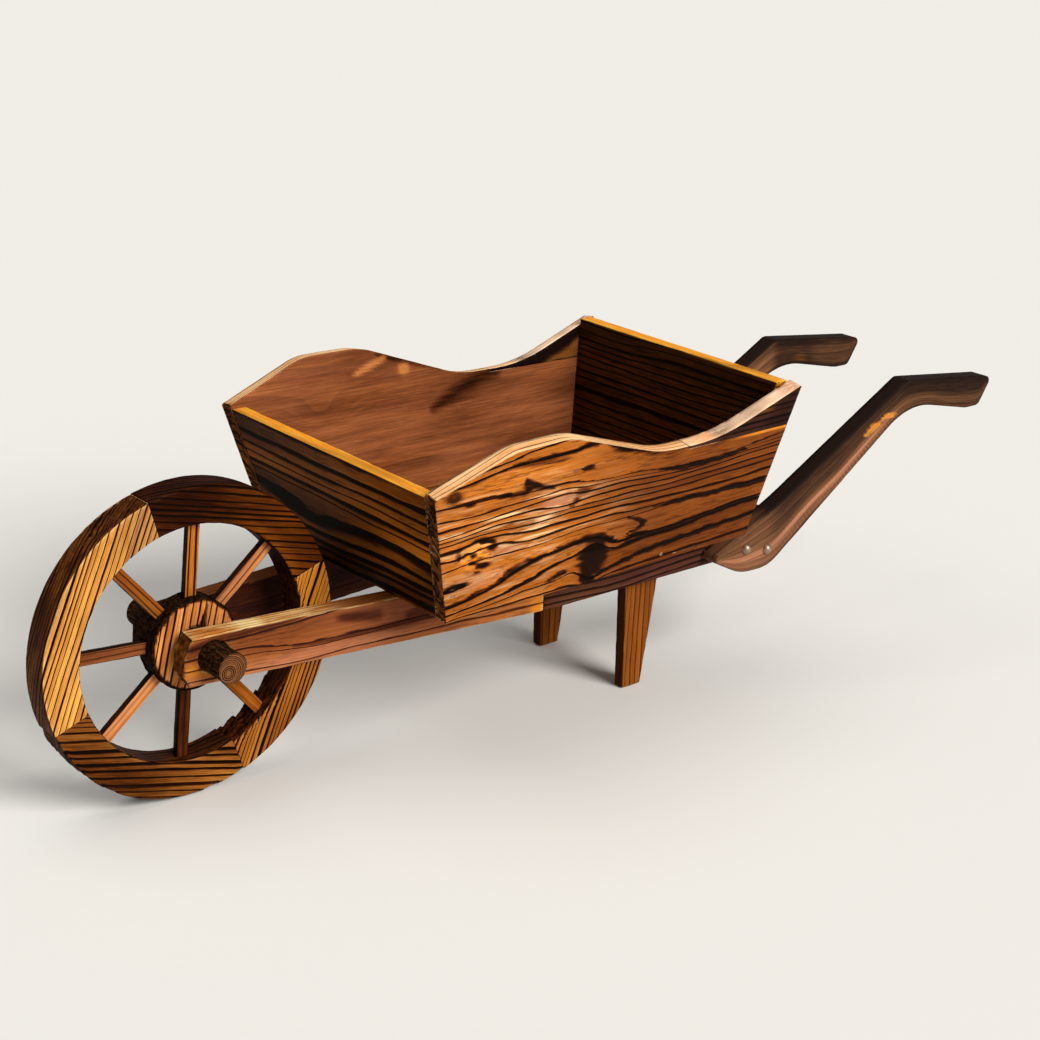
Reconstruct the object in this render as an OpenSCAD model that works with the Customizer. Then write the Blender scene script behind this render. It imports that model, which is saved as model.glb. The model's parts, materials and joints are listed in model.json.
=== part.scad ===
// Decorative wooden wheelbarrow: a tray of wide boards on two rails and two beams,
// a spoked wheel on a branch as axle in front, two legs and two bent handles behind.
// X runs from the wheel to the handles, Z is up, the ground is z = 0.

/* [Wheel rim] */
// Outside diameter of the wheel
wheel_d = 270; // [250:1:290]
// Radial depth of the rim
rim_depth = 33; // [26:1:40]
// Width of the rim along the axle
rim_w = 28; // [24:1:34]
// Chamfer along the edges of the rim
rim_chamfer = 1.2; // [0.5:0.1:3]
// Angle of the joint at the rear of the rim
rear_joint = 20; // [14:0.5:26]
// Angle of the joint at the top of the rim
top_joint = 107; // [102:0.5:114]
// Angle of the joint at the front of the rim
front_joint = 201; // [194:0.5:206]
// Angle of the joint at the bottom of the rim
low_joint = 290.5; // [284:0.5:296]

/* [Spokes] */
// Width of a spoke across the wheel
spoke_w = 11; // [8:0.5:14]
// Thickness of a spoke along the axle
spoke_t = 7; // [5:0.5:9]
// Distance of the spokes from the middle of the rim, towards the left side
spoke_offset = 1.5; // [0:0.5:3]
// Angle of the first spoke
spoke_angle = -4; // [-8:0.5:0]
// Depth of a spoke's outer end in the rim
rim_tenon = 8; // [5:1:12]
// Depth of a spoke's inner end in the hub
hub_tenon = 12; // [8:1:14]

/* [Hub and axle] */
// Diameter of the hub, a slice of a log
hub_d = 80; // [74:1:90]
// Length of the hub along the axle
hub_len = 21; // [17:1:25]
// Distance of the hub's middle from the middle of the rim, towards the left side
hub_offset = 4.5; // [3:0.5:6]
// Diameter of the axle, a round branch
axle_d = 27; // [22:1:30]
// Length of the axle
axle_len = 144; // [130:1:160]
// Running clearance between the axle and the hub's bore, on the radius
axle_play = 0.08; // [0.04:0.01:0.10]
// Depth and flare of the worn mouths of the bore
mouth_wear = 3; // [1:0.5:4]
// Depth of the drying crack in the hub's left face
crack_depth = 12; // [6:1:15]
// Gap between the crack's tip and the edge of the hub
crack_rest = 3; // [2:0.5:6]
// Width of the crack where it meets the bore
crack_w = 8; // [5:0.5:11]
// Angle of the crack's tip
crack_angle = 70; // [55:1:85]
// Angle by which the crack's root lies behind its tip
crack_lean = 10; // [0:1:15]

/* [Rails and beams] */
// Height of the rails and of the beams behind them
rail_h = 42; // [38:1:50]
// Thickness of a rail
rail_t = 19.5; // [16:0.5:22]
// Height of the axle above the underside of the rails
axle_up = 23; // [20:0.5:25]
// Distance from the middle to a rail's outer face, at the axle
rail_half = 43.7; // [42:0.1:48]
// Distance from the middle to a beam's outer face
beam_half = 79.5; // [75:0.5:84]
// Distance from the axle to the joint between rail and beam
rail_len = 318; // [300:1:340]
// Length of a rail's nose in front of the axle
nose_len = 27.5; // [24:0.5:34]
// Thickness of a beam
beam_t = 14; // [11:0.5:16]
// Length of a beam
beam_len = 282; // [260:1:300]

/* [Legs] */
// Thickness of a leg
leg_t = 12; // [9:0.5:15]
// Width of a leg at its top
leg_top_w = 49; // [42:1:56]
// Width of a leg at its foot
leg_foot_w = 23; // [18:1:30]
// Distance from the rear end of the beam to the leg's top rear corner
leg_from_rear = 121; // [100:1:135]
// Distance that the foot's rear edge stands in front of the top's rear edge
leg_rake = 20; // [10:1:26]

/* [Tray] */
// Thickness of the tray's boards
board_t = 14; // [11:0.5:17]
// Distance from the axle to the tray's front bottom corner
tray_from_axle = 166; // [160:1:180]
// Length of the tray's sides at the bottom
tray_len = 361; // [345:1:375]
// Distance from the middle to the tray's outer face, at the front bottom corner
tray_half = 131; // [124:1:138]
// Outward splay of the tray's sides
side_splay = 10.5; // [6:0.5:14]
// Angle by which each side closes in towards the rear
side_taper = 1.6; // [0:0.1:2.5]
// Forward lean of the tray's front
front_lean = 15.9; // [12:0.1:20]
// Backward lean of the tray's rear
rear_lean = 11.2; // [8:0.1:15]
// Height of a side above the rails, at its front edge
side_front_up = 119; // [110:1:125]
// Height of the crest near the front of the right side
crest_up = 151.5; // [145:0.5:160]
// How much lower the left side's crest was sawn
left_drop = 4.5; // [0:0.5:6]
// Height of the hollow in the top of a side
hollow_up = 112; // [104:1:116]
// Height of the horn at the rear of a side
horn_up = 147; // [140:1:155]
// Height of the glued seam under the horn
seam_up = 109; // [100:1:109]
// Height of the front board
front_up = 118; // [108:1:119]
// Height of the rear board
rear_up = 149; // [140:1:152]
// Inset of the front board behind the front edges of the sides
front_inset = 1.5; // [0:0.5:4]
// Inset of the rear board in front of the rear edges of the sides
rear_inset = 4; // [2:0.5:6]

/* [Handles] */
// Thickness of a handle
handle_t = 19.5; // [16:0.5:24]
// Reach of a handle's bend behind the beam's rear end
bend_reach = 172; // [165:1:180]
// Height of a handle's bend above the underside of the rails
bend_up = 148.5; // [144:0.5:154]
// Length of the grip behind the bend
grip_len = 137; // [126:1:150]
// Drop of the grip's end below the bend
grip_drop = 15.5; // [8:0.5:20]
// Depth of the grip
grip_depth = 29; // [26:0.5:32]

/* [Bolts and nails] */
// Diameter of a handle bolt
bolt_d = 6; // [5:0.5:8]
// Diameter of a bolt's domed head
bolt_head_d = 11; // [10:0.5:13]
// Height of a bolt's domed head
bolt_head_h = 4.5; // [3:0.5:5.5]
// Width across the flats of a nut
nut_w = 10; // [9:0.5:12]
// Height of a nut
nut_h = 5; // [4:0.5:6]
// Shank diameter of a nail
nail_d = 1.8; // [1.4:0.1:2.4]
// Head diameter of a nail
nail_head_d = 3.6; // [3:0.1:5]
// Length of a nail
nail_len = 28; // [24:1:30]

/* [Hidden] */
$fn = 128;

// Sizes that follow from the ones above
wheel_r = wheel_d / 2;
rim_in_r = wheel_r - rim_depth;
spoke_count = 8;
spoke_step = 360 / spoke_count;
spoke_r0 = hub_d / 2 - hub_tenon;
spoke_r1 = rim_in_r + rim_tenon;
bore_r = axle_d / 2 + axle_play;
rail_z = wheel_r - axle_up;
floor_z = rail_z + rail_h;
rail_splay = atan((beam_half - rail_half) / rail_len);
beam_end = rail_len + beam_len;
span = 2 * (tray_half + horn_up);
front_w = board_t / cos(front_lean);
rear_w = board_t / cos(rear_lean);
rear_x = tray_len - rear_inset;

// The rim's joints in order, and the first one again after a full turn
rim_joints = [rear_joint, top_joint, front_joint, low_joint, rear_joint + 360];

// Largest turn of one facet on a rounded corner of an outline
arc_step = 4;

// Corners of a side board seen from its flank, each [x, z, radius],
// from the tray's front bottom corner, with its crest at the height given
function side_marks(crest) = [
    [0, 0, 0],
    [-side_front_up * tan(front_lean), side_front_up, 3],
    [46, crest - 0.5, 60],
    [107, crest, 90],
    [tray_len - 141, hollow_up, 120],
    [tray_len - 67, hollow_up, 180],
    [tray_len + horn_up * tan(rear_lean) + 1, horn_up, 1],
    [tray_len, 0, 0]
];

// Distance of the horn's front tip from the tray's front bottom corner
seam_x = tray_len - 107;

// Corners of a handle seen from its flank, each [x, z, radius],
// from the beam's rear end and the underside of the rails
HANDLE = [[-92, 12, 5],
          [-51, -8.5, 60],
          [-12, -9.5, 40],
          [bend_reach + 5, bend_up - 24.5, 80],
          [bend_reach + 0.72 * grip_len, bend_up - 0.72 * grip_drop - grip_depth - 4, 60],
          [bend_reach + grip_len - 18, bend_up - grip_drop - grip_depth + 0.5, 8],
          [bend_reach + grip_len, bend_up - grip_drop, 6],
          [bend_reach, bend_up, 12],
          [0, rail_h + 10.5, 250]];

// Places of the bolts in a handle, from the beam's rear end and the rails' underside
BOLTS = [[-45, 15], [-16, 9]];
// Places of the nails in a side, from the tray's front bottom corner
NAILS = [[1, 25.5], [248, 6.6]];

// One rounded corner b between a and c, as points along its arc
function unit(v) = v / norm(v);
function flat2(p) = [p[0], p[1]];
function corner(a, b, c) =
    let (u = unit(flat2(a) - flat2(b)), v = unit(flat2(c) - flat2(b)),
         half = acos(max(-1, min(1, u * v))) / 2,
         mid = flat2(b) + unit(u + v) * b[2] / sin(half),
         turn = 180 - 2 * half,
         steps = max(1, ceil(turn / arc_step)),
         p = flat2(b) + u * b[2] / tan(half) - mid,
         way = sign(u[0] * v[1] - u[1] * v[0]))
    [for (i = [0 : steps]) let (t = -way * turn * i / steps)
        mid + [p[0] * cos(t) - p[1] * sin(t), p[0] * sin(t) + p[1] * cos(t)]];
function rounded(marks) = let (n = len(marks))
    [for (i = [0 : n - 1]) each marks[i][2] == 0 ? [flat2(marks[i])]
        : corner(marks[(i + n - 1) % n], marks[i], marks[(i + 1) % n])];

handle_outline = rounded(HANDLE);
reach = beam_end + max([for (p = handle_outline) p[0]]);
axle_x = wheel_r - (wheel_r + reach) / 2;

// A place on a side board's outer face, from its flank view [x, z]
function on_side(p) = let (v = p[1] / cos(side_splay))
    [(p[0] - v * sin(side_splay) * sin(side_taper)) / cos(side_taper), v];

// The left one of a pair of children, or the right one, mirrored
module pair_side(right) {
    if (right) mirror([0, 1, 0]) children();
    else children();
}

// An outline in [x, z], given the thickness t towards the right from the plane y
module upright(y, t) {
    translate([0, y + t, 0]) rotate([90, 0, 0]) linear_extrude(t) children();
}

// The wheel's own frame: Z along the axle towards the left side, X to the rear
module at_wheel() {
    translate([axle_x, 0, wheel_r]) rotate([90, 0, 0]) children();
}

// A bar along a spoke, from r0 to r1
module spoke_bar(i, r0, r1) {
    rotate([0, 0, spoke_angle + i * spoke_step])
        translate([r0, -spoke_w / 2, spoke_offset - spoke_t / 2])
            cube([r1 - r0, spoke_w, spoke_t]);
}

// A round nail driven from the tread into a spoke's end
module rim_nail(i) {
    rotate([0, 0, spoke_angle + i * spoke_step]) translate([0, 0, spoke_offset]) rotate([0, 90, 0]) {
        translate([0, 0, wheel_r - nail_len]) cylinder(h = nail_len - 0.5, d = nail_d, $fn = 32);
        translate([0, 0, wheel_r - 1.5]) cylinder(h = 1.2, d = nail_head_d, $fn = 32);
    }
}

// A quarter of the rim, between two of its joints
module felloe(quarter) {
    a0 = rim_joints[quarter];
    a1 = rim_joints[quarter + 1];
    c = rim_chamfer;
    profile = [[rim_in_r, -rim_w / 2 + c], [rim_in_r + c, -rim_w / 2], [wheel_r - c, -rim_w / 2],
               [wheel_r, -rim_w / 2 + c], [wheel_r, rim_w / 2 - c], [wheel_r - c, rim_w / 2],
               [rim_in_r + c, rim_w / 2], [rim_in_r, rim_w / 2 - c]];
    at_wheel() difference() {
        intersection() {
            rotate_extrude() polygon(profile);
            translate([0, 0, -rim_w]) linear_extrude(2 * rim_w)
                polygon(2 * wheel_d * [[0, 0], for (a = [a0, (a0 + a1) / 2, a1]) [cos(a), sin(a)]]);
        }
        for (i = [0 : spoke_count - 1]) {
            spoke_bar(i, spoke_r0, spoke_r1);
            rim_nail(i);
        }
    }
}

module spoke(i) {
    color("peru") at_wheel() difference() {
        spoke_bar(i, spoke_r0, spoke_r1);
        rim_nail(i);
    }
}

// The hub is a log slice with a bore, worn mouths, a drying crack and a socket for each spoke
module hub() {
    z0 = hub_offset - hub_len / 2;
    z1 = hub_offset + hub_len / 2;
    crack_r = hub_d / 2 - crack_rest;
    color("sandybrown") at_wheel() difference() {
        translate([0, 0, z0]) cylinder(h = hub_len, d = hub_d);
        translate([0, 0, z0 - 1]) cylinder(h = hub_len + 2, r = bore_r);
        translate([0, 0, z1 - mouth_wear])
            cylinder(h = mouth_wear + 0.01, r1 = bore_r, r2 = bore_r + mouth_wear);
        translate([0, 0, z0 - 0.01])
            cylinder(h = mouth_wear + 0.01, r1 = bore_r + mouth_wear, r2 = bore_r);
        rotate([0, 0, crack_angle - crack_lean]) translate([0, 0, z1 - crack_depth])
            linear_extrude(crack_depth + 1)
                polygon([[0, -crack_w / 2], [bore_r, -crack_w / 2],
                         crack_r * [cos(crack_lean), sin(crack_lean)],
                         [bore_r, crack_w / 2], [0, crack_w / 2]]);
        for (i = [0 : spoke_count - 1]) spoke_bar(i, spoke_r0, hub_d);
    }
}

module axle_round(len, r) {
    translate([0, 0, -len / 2]) cylinder(h = len, r = r);
}

module axle() {
    color("saddlebrown") at_wheel() axle_round(axle_len, axle_d / 2);
}

// A rail runs outwards from its nose to the beam, and carries the axle
module rail(right) {
    slant = cos(rail_splay);
    outline = [[-nose_len + 8.5, rail_h], [-nose_len + 1.5, rail_h - 14], [-nose_len, 9.5],
               [-nose_len + 3, 6], [-nose_len + 5.5, 0], [rail_len + 20, 0], [rail_len + 20, rail_h]];
    color("rosybrown") pair_side(right) difference() {
        translate([axle_x, -rail_half, rail_z]) rotate([0, 0, -rail_splay])
            upright(0, rail_t) polygon([for (p = outline) [p[0] / slant, p[1]]]);
        translate([axle_x + rail_len, -2 * beam_half, rail_z - 1])
            cube([100, 2 * beam_half, rail_h + 2]);
        at_wheel() axle_round(4 * rail_half, axle_d / 2);
    }
}

// The left side's bolts, heads outside, or the holes that they need
module bolt_shanks(d) {
    for (b = BOLTS) translate([axle_x + beam_end + b[0], -beam_half, rail_z + b[1]])
        rotate([90, 0, 0]) translate([0, 0, -beam_t - nut_h - 2])
            cylinder(h = handle_t + beam_t + nut_h + 2, d = d, $fn = 48);
}

// A beam lies in line behind its rail and carries the leg inside and the handle outside
module beam(right) {
    color("rosybrown") pair_side(right) difference() {
        translate([axle_x + rail_len, -beam_half, rail_z]) cube([beam_len, beam_t, rail_h]);
        bolt_shanks(bolt_d);
    }
}

module handle(right) {
    color("sienna") pair_side(right) difference() {
        translate([axle_x + beam_end, 0, rail_z])
            upright(-beam_half - handle_t, handle_t) polygon(handle_outline);
        bolt_shanks(bolt_d);
    }
}

module leg(right) {
    top_rear = beam_end - leg_from_rear;
    foot_rear = top_rear - leg_rake;
    color("rosybrown") pair_side(right) translate([axle_x, 0, 0])
        upright(-beam_half + beam_t, leg_t)
            polygon([[foot_rear - leg_foot_w, 0], [foot_rear, 0],
                     [top_rear, floor_z], [top_rear - leg_top_w, floor_z]]);
}

module handle_bolts() {
    dome_r = (bolt_head_d * bolt_head_d / 4 + bolt_head_h * bolt_head_h) / (2 * bolt_head_h);
    color("silver") for (right = [false, true]) pair_side(right) {
        bolt_shanks(bolt_d);
        for (b = BOLTS)
            translate([axle_x + beam_end + b[0], -beam_half - handle_t, rail_z + b[1]])
                rotate([90, 0, 0]) intersection() {
                    translate([0, 0, bolt_head_h - dome_r]) sphere(r = dome_r, $fn = 64);
                    cylinder(h = bolt_head_h + 1, d = bolt_head_d + 2);
                }
    }
}

module handle_nuts() {
    color("silver") for (right = [false, true]) pair_side(right) difference() {
        for (b = BOLTS)
            translate([axle_x + beam_end + b[0], -beam_half + beam_t + nut_h, rail_z + b[1]])
                rotate([90, 0, 0]) cylinder(h = nut_h, d = nut_w / cos(30), $fn = 6);
        bolt_shanks(bolt_d);
    }
}

// The left side board's own frame: its outer face is the plane y = 0, its inner face y = board_t
module at_side() {
    translate([axle_x + tray_from_axle, -tray_half, floor_z])
        rotate([side_splay, 0, side_taper]) children();
}

// Nails through the left side board, or the holes that they need
module side_nails() {
    at_side() for (n = NAILS) let (p = on_side(n)) translate([p[0], 0, p[1]]) rotate([-90, 0, 0]) {
        cylinder(h = nail_len, d = nail_d, $fn = 32);
        cylinder(h = 1, d = nail_head_d, $fn = 32);
    }
}

// The part of a side board above the seam and behind the horn's tip, seen from the flank
module horn_zone() {
    a = on_side([seam_x, seam_up]);
    translate(a) square([tray_len, horn_up]);
}

module side_outline(right) {
    crest = right ? crest_up : crest_up - left_drop;
    polygon([for (p = rounded(side_marks(crest))) on_side(p)]);
}

module side(right) {
    color("chocolate") pair_side(right) difference() {
        at_side() upright(0, board_t) difference() {
            side_outline(right);
            horn_zone();
        }
        side_nails();
    }
}

// The horn is a darker board, glued on above the seam
module horn(right) {
    color("saddlebrown") pair_side(right) at_side() upright(0, board_t) intersection() {
        side_outline(right);
        horn_zone();
    }
}

// All that lies outside the two side boards' inner faces
module beyond_sides() {
    for (right = [false, true]) pair_side(right) at_side()
        translate([-span, board_t - span, -span]) cube([3 * span, span, 3 * span]);
}

// A cross board with the outline [x, z], fitted between the side boards
module cross_board(outline, half = 0) {
    difference() {
        translate([axle_x + tray_from_axle, 0, floor_z])
            upright(half > 0 ? 0 : -span / 2, half == 0 ? span : span / 2) polygon(outline);
        beyond_sides();
        for (right = [false, true]) pair_side(right) side_nails();
    }
}

module front_board() {
    lean = front_up * tan(front_lean);
    color("peru") cross_board([[front_inset, 0], [front_inset + front_w, 0],
                               [front_inset + front_w - lean, front_up],
                               [front_inset - lean, front_up]]);
}

module rear_board() {
    lean = rear_up * tan(rear_lean);
    color("peru") cross_board([[rear_x - rear_w, 0], [rear_x, 0],
                               [rear_x + lean, rear_up], [rear_x - rear_w + lean, rear_up]]);
}

// The floor is two boards side by side, bevelled against the front and rear boards
module floor_board(half) {
    f = front_inset + front_w;
    r = rear_x - rear_w;
    color("burlywood") cross_board([[f, 0], [r, 0], [r + board_t * tan(rear_lean), board_t],
                                    [f - board_t * tan(front_lean), board_t]], half);
}

module tray_nails() {
    color("silver") for (right = [false, true]) pair_side(right) side_nails();
}

module rim_nails() {
    color("silver") at_wheel() for (i = [0 : spoke_count - 1]) rim_nail(i);
}

color("saddlebrown") felloe(0);  // felloe_upper
color("sandybrown") felloe(1);  // felloe_front
color("peru") felloe(2);  // felloe_lower
color("sandybrown") felloe(3);  // felloe_rear
spoke(0);  // spoke_1
spoke(1);  // spoke_2
spoke(2);  // spoke_3
spoke(3);  // spoke_4
spoke(4);  // spoke_5
spoke(5);  // spoke_6
spoke(6);  // spoke_7
spoke(7);  // spoke_8
hub();
axle();
rail(false);  // rail_left
rail(true);  // rail_right
beam(false);  // beam_left
beam(true);  // beam_right
handle(false);  // handle_left
handle(true);  // handle_right
leg(false);  // leg_left
leg(true);  // leg_right
side(false);  // side_left
side(true);  // side_right
horn(false);  // horn_left
horn(true);  // horn_right
front_board();
rear_board();
floor_board(-1);  // floor_left
floor_board(1);  // floor_right
handle_bolts();
handle_nuts();
tray_nails();
rim_nails();
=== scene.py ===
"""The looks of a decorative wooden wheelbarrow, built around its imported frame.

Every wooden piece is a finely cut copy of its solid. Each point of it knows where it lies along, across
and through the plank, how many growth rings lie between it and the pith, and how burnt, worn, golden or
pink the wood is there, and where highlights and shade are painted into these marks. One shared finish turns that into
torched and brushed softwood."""

import json
import math

import bmesh
import bpy
import numpy as np
from mathutils import Matrix, Vector

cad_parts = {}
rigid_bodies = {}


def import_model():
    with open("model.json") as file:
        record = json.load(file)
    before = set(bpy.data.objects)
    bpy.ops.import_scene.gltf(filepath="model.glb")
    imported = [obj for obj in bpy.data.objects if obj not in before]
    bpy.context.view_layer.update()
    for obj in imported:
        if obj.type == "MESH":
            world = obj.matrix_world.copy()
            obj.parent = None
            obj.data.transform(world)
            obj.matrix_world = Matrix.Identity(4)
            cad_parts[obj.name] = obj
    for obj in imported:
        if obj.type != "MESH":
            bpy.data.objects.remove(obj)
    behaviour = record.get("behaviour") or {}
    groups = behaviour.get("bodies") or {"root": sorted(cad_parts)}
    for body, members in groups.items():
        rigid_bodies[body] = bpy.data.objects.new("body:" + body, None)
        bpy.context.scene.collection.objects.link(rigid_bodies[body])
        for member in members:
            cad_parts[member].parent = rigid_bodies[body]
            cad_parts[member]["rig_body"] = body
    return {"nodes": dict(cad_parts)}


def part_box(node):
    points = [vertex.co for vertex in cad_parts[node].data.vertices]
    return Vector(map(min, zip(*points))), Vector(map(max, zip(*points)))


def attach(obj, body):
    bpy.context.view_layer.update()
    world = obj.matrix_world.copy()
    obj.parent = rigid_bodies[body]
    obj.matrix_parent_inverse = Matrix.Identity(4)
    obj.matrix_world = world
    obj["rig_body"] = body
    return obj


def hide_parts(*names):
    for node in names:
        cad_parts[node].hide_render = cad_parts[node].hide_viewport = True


bl_info = {
    "name": "Wooden Wheelbarrow",
    "version": (1, 0, 0),
    "blender": (4, 5, 0),
    "location": "View3D > Sidebar > Wheelbarrow",
    "description": "Builds the torched wood looks of a decorative wheelbarrow",
    "category": "Object",
}

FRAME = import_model()
NODES = FRAME["nodes"]
MM = 0.001
X, Y, Z = Vector((1, 0, 0)), Vector((0, 1, 0)), Vector((0, 0, 1))


def middle_of(node):
    low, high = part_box(node)
    return (low + high) / 2


AXLE = middle_of("axle")


# Noise over arrays of points

def lattice(cell, seed):
    """A repeatable number from 0 to 1 for each whole-number cell."""
    h = (cell[..., 0] * 374761393 + cell[..., 1] * 668265263 + cell[..., 2] * 2147483647 + seed * 974634777)
    h = (h ^ (h >> 13)) * 1274126177
    h = h ^ (h >> 16)
    return (h & 0xFFFFFF) / float(0xFFFFFF)


def noise(points, seed=0, scale=1.0):
    """Smooth noise from -1 to 1, one swing per unit of the scaled points."""
    points = points * np.array(scale)
    base = np.floor(points).astype(np.int64)
    f = points - base
    f = f * f * (3 - 2 * f)
    total = 0
    for corner in np.ndindex(2, 2, 2):
        weight = 1
        for axis, far in enumerate(corner):
            weight = weight * (f[..., axis] if far else 1 - f[..., axis])
        total = total + weight * lattice(base + np.array(corner), seed)
    return total * 2 - 1


def ease(value, low, high):
    """0 up to low, 1 from high on, and a smooth step between."""
    t = np.clip((value - low) / (high - low), 0, 1)
    return t * t * (3 - 2 * t)


def facing(part):
    """1 on faces that look along a direction, from that part of their normals."""
    return ease(part, 0.6, 0.9)


def grit(points, seed, scale=1.0):
    """Noise from 0 to 1."""
    return 0.5 + 0.5 * noise(points, seed, scale)


def stack(*columns):
    """Points from their columns, some of which may be plain numbers."""
    return np.stack(np.broadcast_arrays(*columns), axis=1)


# Geometry

def solid(node):
    """A clean copy of a solid: corners merged and flat faces whole."""
    bm = bmesh.new()
    bm.from_mesh(NODES[node].data)
    for nearness in (1e-6, 0.0007):
        bmesh.ops.remove_doubles(bm, verts=bm.verts[:], dist=nearness)
    bmesh.ops.dissolve_degenerate(bm, edges=bm.edges[:], dist=1e-6)
    bmesh.ops.dissolve_limit(bm, angle_limit=math.radians(0.5), verts=bm.verts[:], edges=bm.edges[:])
    return bm


def soften(bm, width):
    """Rounds the sharp edges and remembers which faces the rounding made."""
    layer = bm.faces.layers.int.new("edge")
    sharp = [e for e in bm.edges if len(e.link_faces) == 2 and e.calc_face_angle(0) > math.radians(28)
             and e.calc_length() > 0.0012]
    made = bmesh.ops.bevel(bm, geom=sharp, offset=width, offset_type="OFFSET", segments=2, profile=0.5,
                           affect="EDGES", material=-1, clamp_overlap=True)
    for face in made["faces"]:
        face[layer] = 1
    return layer


def slice_along(bm, axis, step):
    """Cuts across a direction at even steps."""
    reach = [v.co.dot(axis) for v in bm.verts]
    low, high = min(reach), max(reach)
    count = max(1, round((high - low) / step))
    for i in range(1, count):
        place = low + (high - low) * i / count
        bmesh.ops.bisect_plane(bm, geom=bm.verts[:] + bm.edges[:] + bm.faces[:], dist=2e-6,
                               plane_co=axis * place, plane_no=axis)


def coarseness():
    return 1


def grain_axes(bm, along=None):
    """Directions along and through a plank, from its longest straight edge and its largest face."""
    broad = max(bm.faces, key=lambda f: f.calc_area()).normal.copy()
    if along is None:
        edge = max(bm.edges, key=lambda e: e.calc_length())
        along = edge.verts[1].co - edge.verts[0].co
    along = (along - broad * along.dot(broad)).normalized()
    if along.dot(X) < -0.3 or abs(along.dot(X)) <= 0.3 and along.dot(Y) < 0:
        along = -along
    return along, broad


class Wood:
    """How the plank of one piece grew: its axes, where its pith lies, how far apart its rings are, how much
    they sway and wander, its knots, and its ring lines where these are drawn."""
    # Length of one sway along the plank, and how unevenly the rings follow one another
    swing, uneven = 0.2, 0.5

    def __init__(self, origin, axes, seed, pith=(-0.3, 0.0), pitch=0.004, sway=0.0, wander=0.5, knots=(),
                 drawn=None):
        self.origin, self.axes, self.seed = np.array(origin), np.array(axes), seed
        self.pith, self.pitch, self.sway, self.wander = pith, pitch, sway, wander
        self.knots, self.drawn = knots, drawn

    def place(self, co):
        return (co - self.origin) @ self.axes.T

    def rings(self, uvw):
        u, v, w = uvw.T
        if self.drawn:
            return self.drawn(u, v, w) + self.wander * noise(uvw, self.seed, (30, 160, 160))
        lean = self.sway * np.sin(u / self.swing * 2 * math.pi + self.seed)
        count = np.hypot(v + lean - self.pith[0], w - self.pith[1]) / self.pitch
        count = count + self.uneven * noise(stack(count / 2.7, 0, 0), self.seed + 5)
        count = count + self.wander * noise(uvw * np.array((9, 45, 45)) + self.seed * 3.7, self.seed)
        for ku, kv, lift, long, wide in self.knots:
            count = count + lift * np.exp(-((u - ku) / long) ** 2 - ((v - kv) / wide) ** 2)
        return count


def outline(node, x):
    """Heights of the top and bottom of a solid's outline at places x."""
    mesh = NODES[node].data
    ends = np.array([[mesh.vertices[i].co for i in e.vertices] for e in mesh.edges])
    ends = ends[np.abs(ends[:, 1, 0] - ends[:, 0, 0]) > 1e-6]
    start, way = ends[:, 0], ends[:, 1] - ends[:, 0]
    places = np.linspace(ends[..., 0].min() + 1e-5, ends[..., 0].max() - 1e-5, 160)
    share = (places[:, None] - start[:, 0]) / way[:, 0]
    height = start[:, 2] + share * way[:, 2]
    inside = (share >= 0) & (share <= 1)
    top, bottom = np.where(inside, height, -9).max(axis=1), np.where(inside, height, 9).min(axis=1)
    return np.interp(x, places, top), np.interp(x, places, bottom)


def blob(uvw, u, v, long, wide, soft=0.6):
    """An oval patch, 1 inside and fading over its outer part; sizes in millimetres."""
    far = np.hypot((uvw[:, 0] / MM - u) / long, (uvw[:, 1] / MM - v) / wide)
    return 1 - ease(far, 1 - soft, 1 + soft)


def stroke(uvw, marks, soft=0.8):
    """A brush stroke through marks (u, v, half width) in millimetres, 1 on its middle line."""
    point = uvw[:, :2] / MM
    best = np.zeros(len(point))
    for (u0, v0, h0), (u1, v1, h1) in zip(marks, marks[1:]):
        way = np.array((u1 - u0, v1 - v0))
        share = np.clip(((point - (u0, v0)) @ way) / (way @ way), 0, 1)
        far = np.hypot(point[:, 0] - u0 - share * way[0], point[:, 1] - v0 - share * way[1])
        half = h0 + (h1 - h0) * share
        best = np.maximum(best, 1 - ease(far, half * (1 - soft), half * (1 + soft)))
    return best


def drawn_rings(lines, bulges=(), eyes=(), lean=0.25):
    """Growth rings from drawn lines. Each line is one ring's edge as marks (u, v) in millimetres, listed from
    the bottom up. A bulge (u, v, half length, half height, lift) closes rings into a loop and an eye
    (u, v, radius, spacing) is the rings of a knot."""
    reach = np.arange(-60.0, 461.0, 2.0)
    span = np.exp(-(np.arange(-12, 13) / 3.2) ** 2)
    span /= span.sum()
    heights = []
    for line in lines:
        height = np.interp(reach, *np.array(line, float).T)
        heights.append(np.convolve(np.pad(height, 12, mode="edge"), span, mode="valid"))
    heights = np.maximum.accumulate(np.array(heights) + np.arange(len(lines))[:, None] * 1e-4, axis=0)

    def rings(u, v, w):
        u, v = u / MM, v / MM + lean * w / MM
        at = np.array([np.interp(u, reach, h) for h in heights])
        below = np.clip((at <= v).sum(axis=0) - 1, 0, len(lines) - 2)
        pick = np.arange(len(u))
        low, high = at[below, pick], at[below + 1, pick]
        tall = np.maximum(high - low, 0.05)
        foot, rest = tall - np.minimum(tall * 0.3, 2.0), v - low
        count = below + np.where(rest < foot, 0.7 * rest / foot, 0.7 + 0.3 * (rest - foot) / (tall - foot))
        for ku, kv, long, high_half, lift in bulges:
            far = ((u - ku) / long) ** 2 + ((v - kv) / high_half) ** 2
            count = count + lift * np.exp(-far * 1.1)
        for ku, kv, radius, spacing in eyes:
            far = np.hypot(u - ku, (v - kv) * 1.25)
            share = 1 - ease(far, radius * 0.7, radius * 1.15)
            count = count * (1 - share) + (far / spacing) * share
        return count

    return rings
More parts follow.
